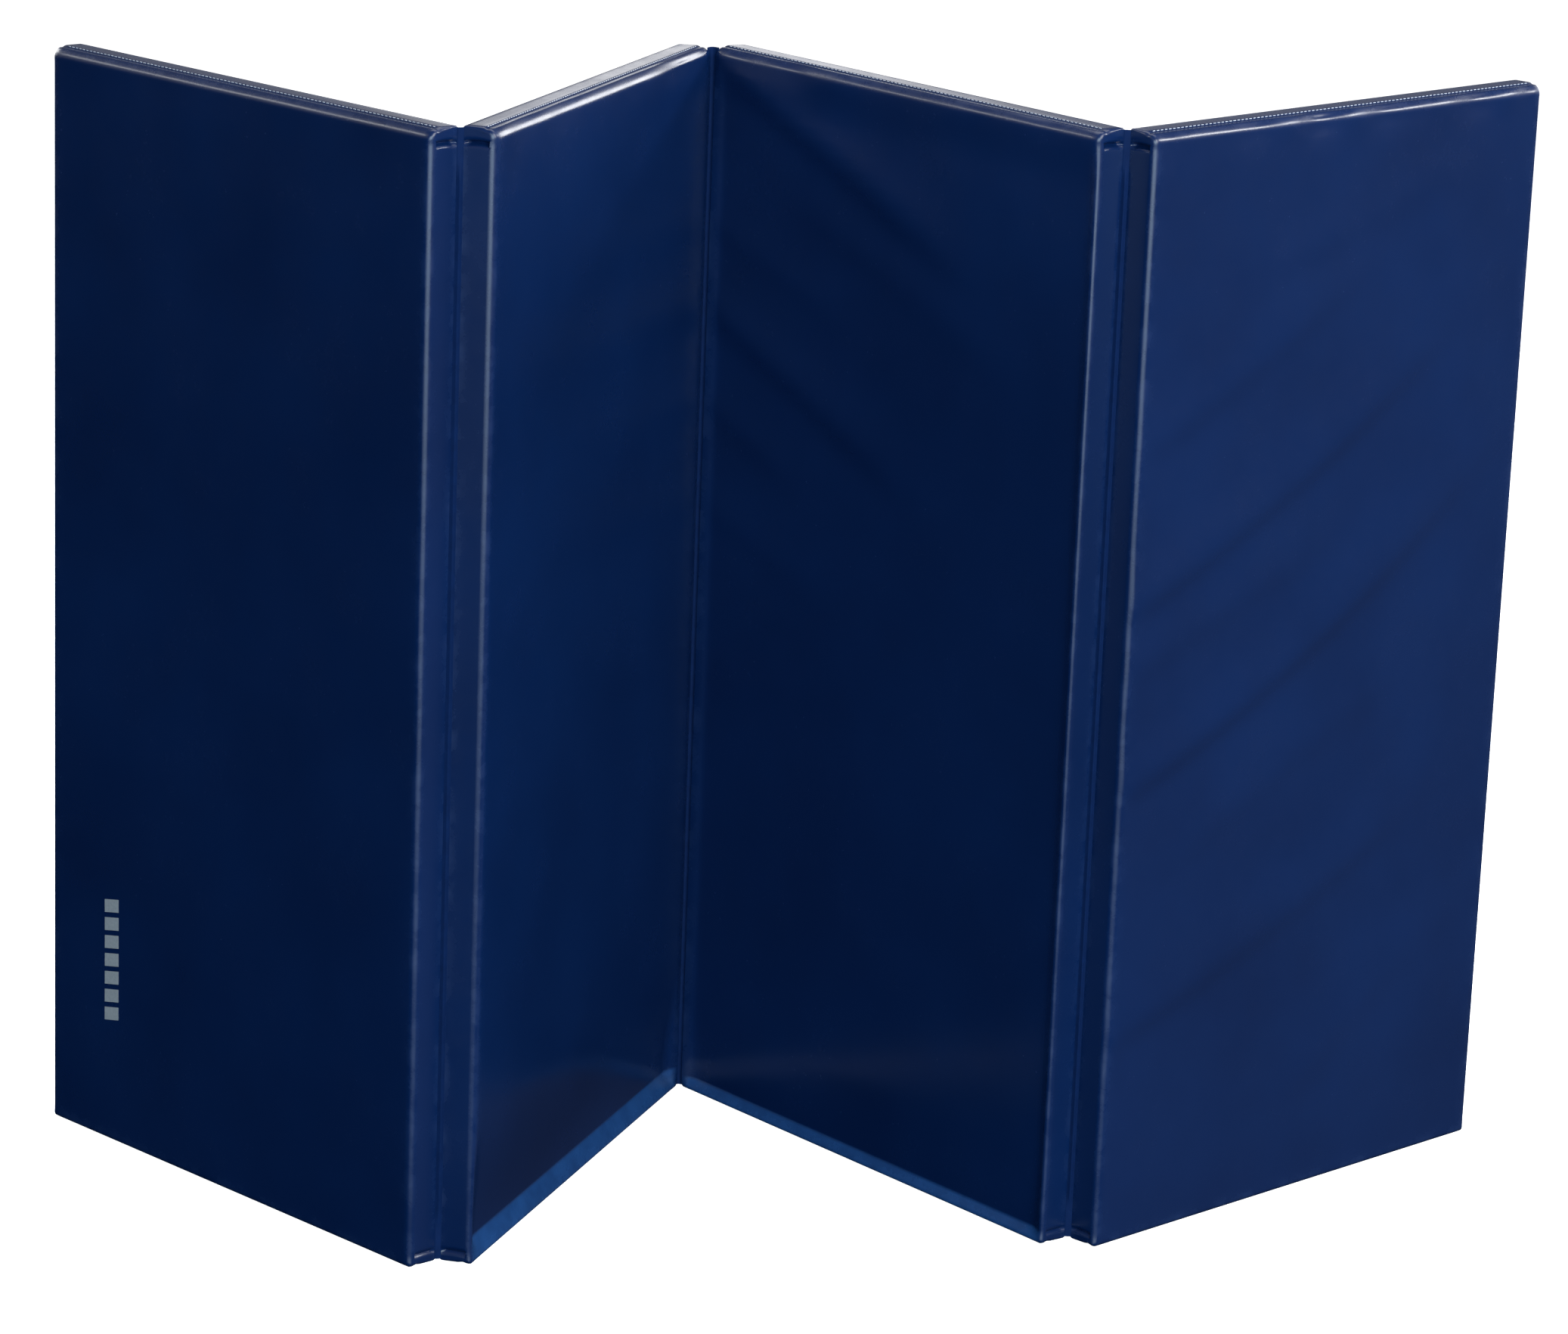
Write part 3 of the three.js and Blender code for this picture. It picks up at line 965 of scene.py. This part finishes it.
# ---------------------------------------------------------------- floor, light and camera
def floor():
    """A plain pale floor, which the mat doesn't mirror."""
    size = 40.0
    corners = [(x, y, -0.4 * MM) for x, y in ((-size, -size), (size, -size), (size, size), (-size, size))]
    material, _, shader = new_material("pale_floor")
    shader.inputs["Base Color"].default_value = (0.90, 0.90, 0.90, 1.0)
    shader.inputs["Roughness"].default_value = 0.9
    shader.inputs["Specular IOR Level"].default_value = 0.0
    shader.inputs["Emission Color"].default_value = (1.0, 1.0, 1.0, 1.0)
    shader.inputs["Emission Strength"].default_value = 0.85
    made = mesh_object("studio_floor", corners, [(0, 1, 2, 3)], material)
    made.visible_glossy = False
    made.visible_diffuse = False


def area_light(name, place, aim, size, power, colour):
    data = bpy.data.lights.new(name, "AREA")
    data.shape = "RECTANGLE"
    data.size, data.size_y = size
    data.energy = power
    data.color = colour
    lamp = bpy.data.objects.new(name, data)
    lamp.location = place
    lamp.rotation_euler = (Vector(aim) - Vector(place)).to_track_quat("-Z", "Y").to_euler()
    lamp.visible_camera = False
    bpy.context.scene.collection.objects.link(lamp)


# Name, place, point aimed at, size, power and colour of each area light.
WHITE, COOL = (1.0, 1.0, 1.0), (0.74, 0.92, 1.0)
LIGHTS = [
    ("key_softbox", (2.7, -3.5, 2.8), (0.0, 0.0, 0.6), (3.0, 2.6), 190, WHITE),
    ("overhead_softbox", (0.2, 0.3, 3.4), (0.0, 0.0, 1.0), (3.0, 1.6), 40, WHITE),
    ("front_softbox", (0.2, -6.6, 1.8), (0.0, 0.0, 0.6), (5.0, 3.0), 325, COOL),
    ("right_edge_light", (4.0, 0.2, 2.9), (0.5, 0.0, 1.2), (1.6, 0.5), 75, WHITE),
    ("left_edge_light", (-4.0, 0.2, 2.9), (-0.5, 0.0, 1.2), (1.6, 0.5), 16, WHITE),
    ("left_back_softbox", (-4.2, 3.8, 2.2), (0.0, 0.0, 0.6), (2.5, 2.5), 160, WHITE),
    ("right_back_softbox", (4.2, 3.8, 2.2), (0.0, 0.0, 0.6), (2.5, 2.5), 160, WHITE),
]
FRONT_GLOW = (2.7, 3.4, 3.75)   # colour and strength of the band low in front of the mat


def studio():
    """A dark room that the vinyl mirrors, with a cool band low in front, a window behind, dim walls
    on both sides and a faint ceiling, and the area lights."""
    world = bpy.data.worlds.new("studio")
    bpy.context.scene.world = world
    world.use_nodes = True
    tree = world.node_tree
    background = tree.nodes["Background"]
    position = tree.nodes.new("ShaderNodeTexCoord")
    split = tree.nodes.new("ShaderNodeSeparateXYZ")
    tree.links.new(position.outputs["Generated"], split.inputs[0])
    across, deep, high = (split.outputs[axis] for axis in "XYZ")

    def product(*factors):
        total = factors[0]
        for factor in factors[1:]:
            total = arithmetic(tree, "MULTIPLY", total, factor)
        return total

    def rises(value, *limits):
        return ramp_value(tree, value, *limits)

    below = rises(high, 0.08, -0.02)
    raised = product(rises(high, 0.02, 0.16), rises(high, 0.75, 0.55))
    pane = product(rises(across, -0.075, -0.040), rises(across, 0.045, 0.010, 0.0, 2.0))
    window = arithmetic(tree, "ADD", rises(across, 0.20, 0.45, 0.25, 1.9), pane)
    front = product(rises(deep, -0.75, -0.95), below, rises(high, -0.28, -0.15, 0.0, 1.0))
    right_floor = product(rises(across, 0.4, 0.95, 0.0, 0.09), below)
    back = product(rises(deep, 0.45, 0.85), rises(high, -0.02, 0.10), rises(high, 0.45, 0.25), window)
    right_wall = product(rises(across, 0.45, 0.75, 0.0, 0.5), raised)
    left_wall = product(rises(across, -0.45, -0.75, 0.0, 0.35), raised)
    ceiling = rises(high, 0.1, 0.6, 0.0, 0.12)
    total = right_floor
    for region in (back, right_wall, left_wall, ceiling):
        total = arithmetic(tree, "ADD", total, region)
    glow = node(tree, "ShaderNodeVectorMath", operation="MULTIPLY_ADD")
    tree.links.new(front, glow.inputs[0])
    glow.inputs[1].default_value = FRONT_GLOW
    tree.links.new(total, glow.inputs[2])
    tree.links.new(glow.outputs["Vector"], background.inputs["Color"])
    background.inputs["Strength"].default_value = 1.0
    for light in LIGHTS:
        area_light(*light)


def camera():
    """The camera of the photograph: in front of the mat, looking down at it, and slightly tilted."""
    data = bpy.data.cameras.new("camera")
    data.sensor_width = 36.0
    data.lens = 123.34
    eye = bpy.data.objects.new("camera", data)
    pitch, tilt = math.radians(90.0 - 15.681), math.radians(2.172)
    turn = Matrix.Rotation(pitch, 4, "X") @ Matrix.Rotation(tilt, 4, "Z")
    eye.matrix_world = Matrix.Translation((0.002, -5.604, 2.1637)) @ turn
    bpy.context.scene.collection.objects.link(eye)
    bpy.context.scene.camera = eye


floor()
studio()
camera()
bpy.context.scene.view_settings.view_transform = "Standard"

bpy.context.view_layer.update()
